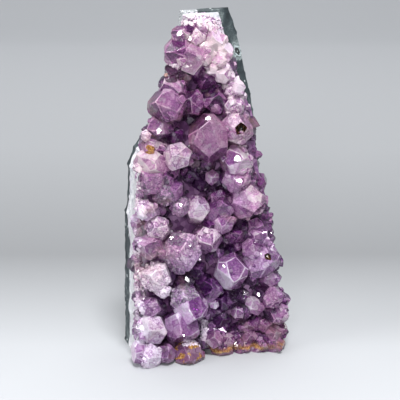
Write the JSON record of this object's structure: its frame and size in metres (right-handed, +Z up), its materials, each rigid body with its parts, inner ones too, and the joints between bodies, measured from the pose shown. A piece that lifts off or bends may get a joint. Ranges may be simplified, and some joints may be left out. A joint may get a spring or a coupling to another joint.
{
  "type": "amethyst cluster",
  "caption": "Amethyst cluster: a tapered wedge of geode wall, sawn to stand upright, with a dark basalt rind, a white quartz band and a crust of purple crystals on its front",
  "frame": {"origin": "on the cut base, at the middle of the cluster's bounding box in X and Y", "axes": "+Z is up, the crystals face -Y, and the basalt rind is at +Y"},
  "size_m": [0.0832, 0.0546, 0.1705],
  "materials": {
    "basalt_rind": "dark grey-green basalt, rough on the back and ground smooth where it is sawn",
    "quartz_band": "white milky quartz, sawn",
    "amethyst_crystals": "purple amethyst, translucent and glossy, pale where it is sawn"
  },
  "bodies": {
    "root": {"basalt_rind": "basalt_rind", "quartz_band": "quartz_band", "amethyst_crystals": "amethyst_crystals"}
  },
  "joints": []
}
